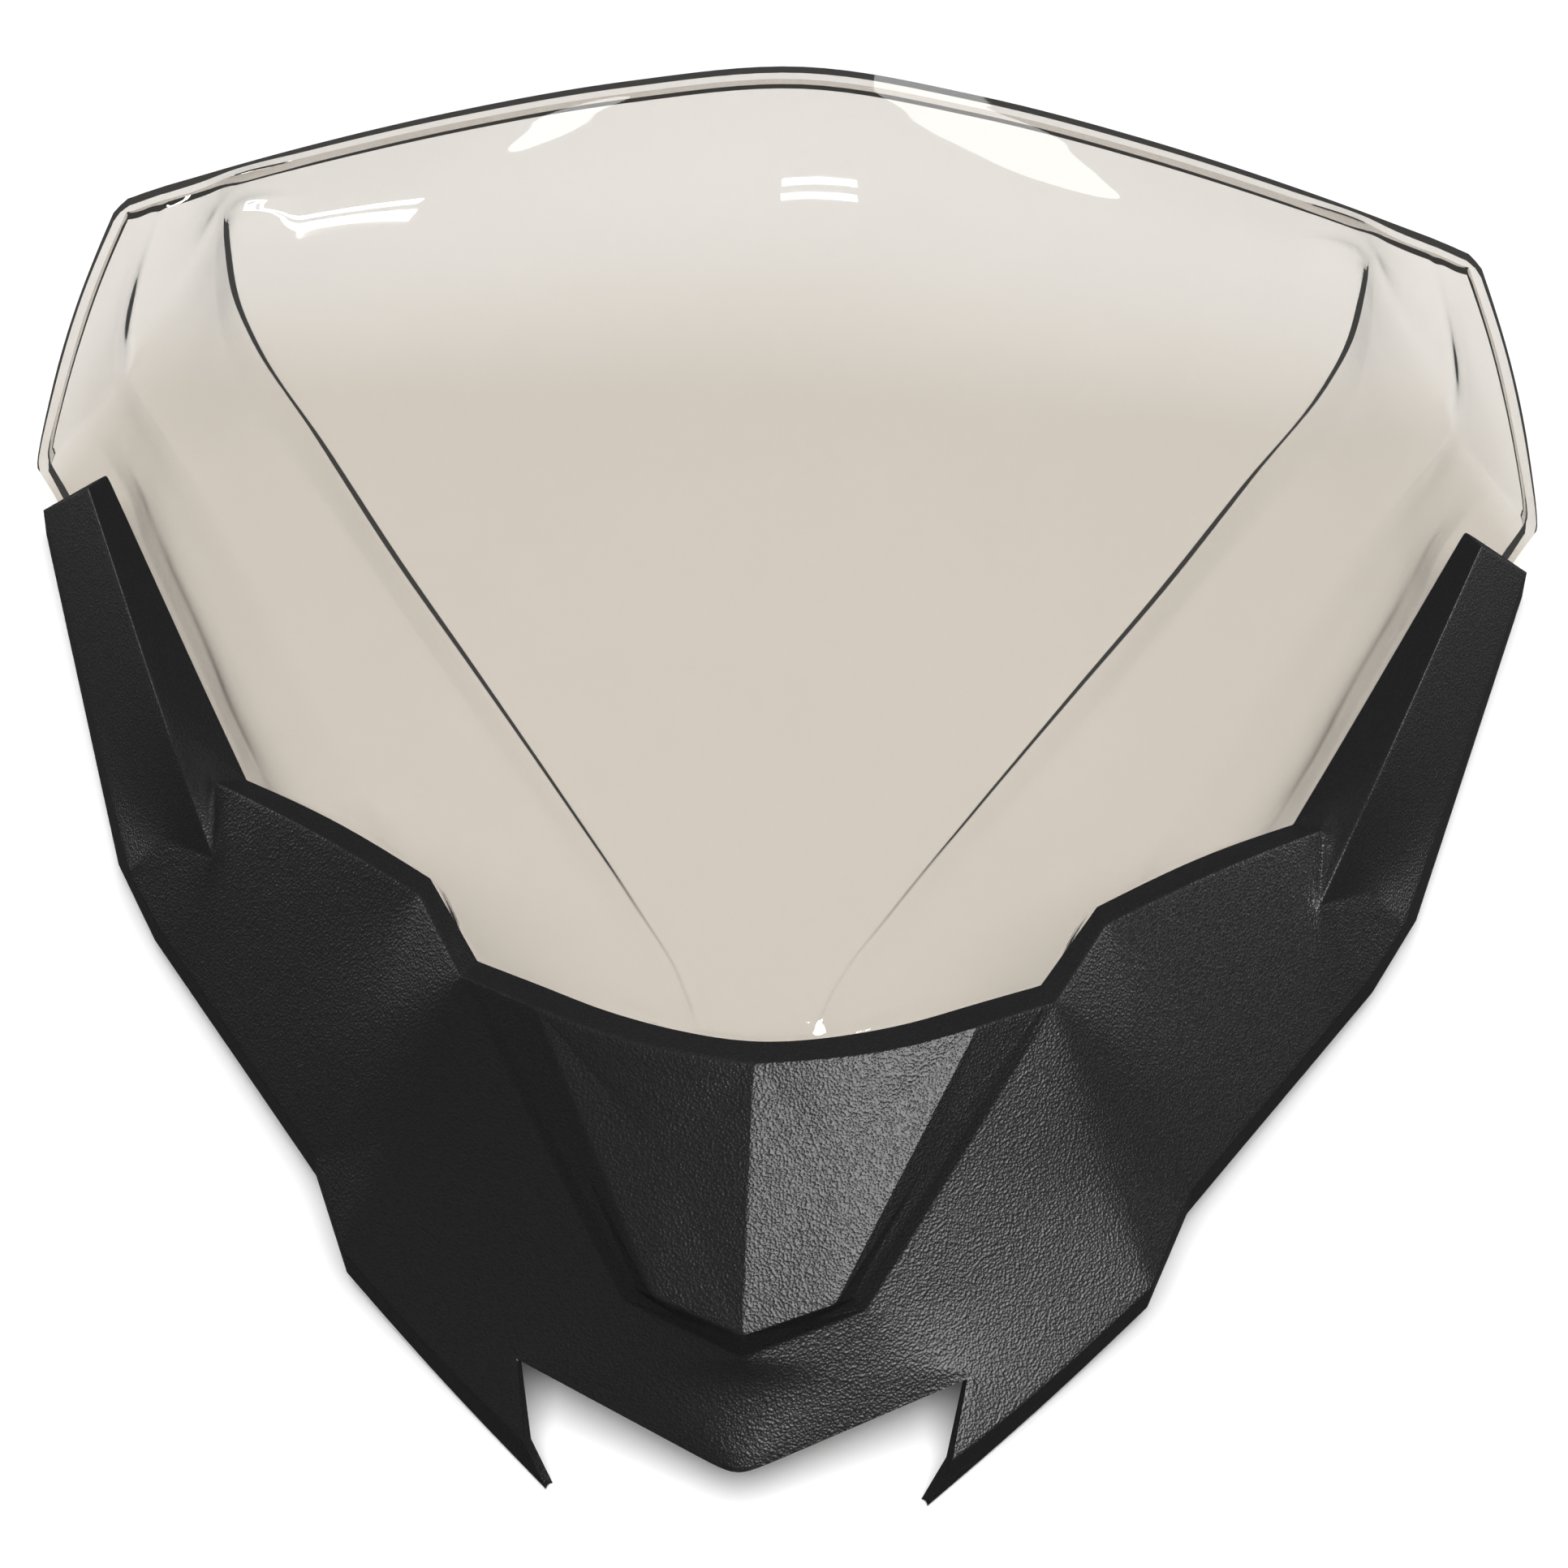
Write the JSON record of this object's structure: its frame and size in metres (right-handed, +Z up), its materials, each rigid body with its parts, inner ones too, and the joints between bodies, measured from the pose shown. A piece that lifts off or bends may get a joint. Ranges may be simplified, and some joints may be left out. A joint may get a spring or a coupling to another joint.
{
  "type": "powersports windshield with lower shell",
  "caption": "Two-piece windshield: a smoke-tinted clear screen with a raised centre panel, held in a black grained lower shell with two fork arms, a centre beak and two prongs.",
  "frame": {"origin": "middle of the footprint, on the plane the part lies on, outer face up", "axes": "+Z up, +Y from the nose to the top edge of the screen, +X to the right seen from the nose; X = 0 is the symmetry plane"},
  "size_m": [0.63, 0.528, 0.1505],
  "materials": {
    "tinted_polycarbonate": "clear gloss, light smoke-beige tint",
    "grained_black_plastic": "fine leather-like grain, satin",
    "foam": "closed-cell foam, matt",
    "rubber": "matt",
    "zinc_steel": "zinc plated, satin",
    "black_steel": "black coated, satin"
  },
  "bodies": {
    "windshield": {"tinted_screen": "tinted_polycarbonate", "lower_shell": "grained_black_plastic", "rim_gasket_centre": "foam", "rim_gasket_right": "foam", "rim_gasket_left": "foam", "clamp_screw_nose_right": "black_steel", "clamp_washer_nose_right": "zinc_steel", "clamp_screw_nose_left": "black_steel", "clamp_washer_nose_left": "zinc_steel", "clamp_screw_block_right": "black_steel", "clamp_washer_block_right": "zinc_steel", "clamp_screw_block_left": "black_steel", "clamp_washer_block_left": "zinc_steel", "clamp_screw_wing_right": "black_steel", "clamp_washer_wing_right": "zinc_steel", "clamp_screw_wing_left": "black_steel", "clamp_washer_wing_left": "zinc_steel", "clamp_screw_fork_root_right": "black_steel", "clamp_washer_fork_root_right": "zinc_steel", "clamp_screw_fork_root_left": "black_steel", "clamp_washer_fork_root_left": "zinc_steel", "clamp_screw_fork_tip_right": "black_steel", "clamp_washer_fork_tip_right": "zinc_steel", "clamp_screw_fork_tip_left": "black_steel", "clamp_washer_fork_tip_left": "zinc_steel", "mount_plate_right": "black_steel", "mount_grommet_right": "rubber", "mount_sleeve_right": "zinc_steel", "plate_screw_right_1": "black_steel", "plate_screw_right_2": "black_steel", "mount_plate_left": "black_steel", "mount_grommet_left": "rubber", "mount_sleeve_left": "zinc_steel", "plate_screw_left_1": "black_steel", "plate_screw_left_2": "black_steel"},
    "stud_right": {"quarter_turn_stud_right": "zinc_steel", "stud_cross_pin_right": "zinc_steel"},
    "stud_left": {"quarter_turn_stud_left": "zinc_steel", "stud_cross_pin_left": "zinc_steel"}
  },
  "joints": [
    {"name": "stud_turn_right", "type": "hinge", "parent": "windshield", "child": "stud_right", "pos_m": [0.1615, -0.114, 0.027], "axis": [0, 0, 1], "range_deg": [0, 90]},
    {"name": "stud_turn_left", "type": "hinge", "parent": "windshield", "child": "stud_left", "pos_m": [-0.1615, -0.114, 0.027], "axis": [0, 0, 1], "range_deg": [0, 90]}
  ]
}
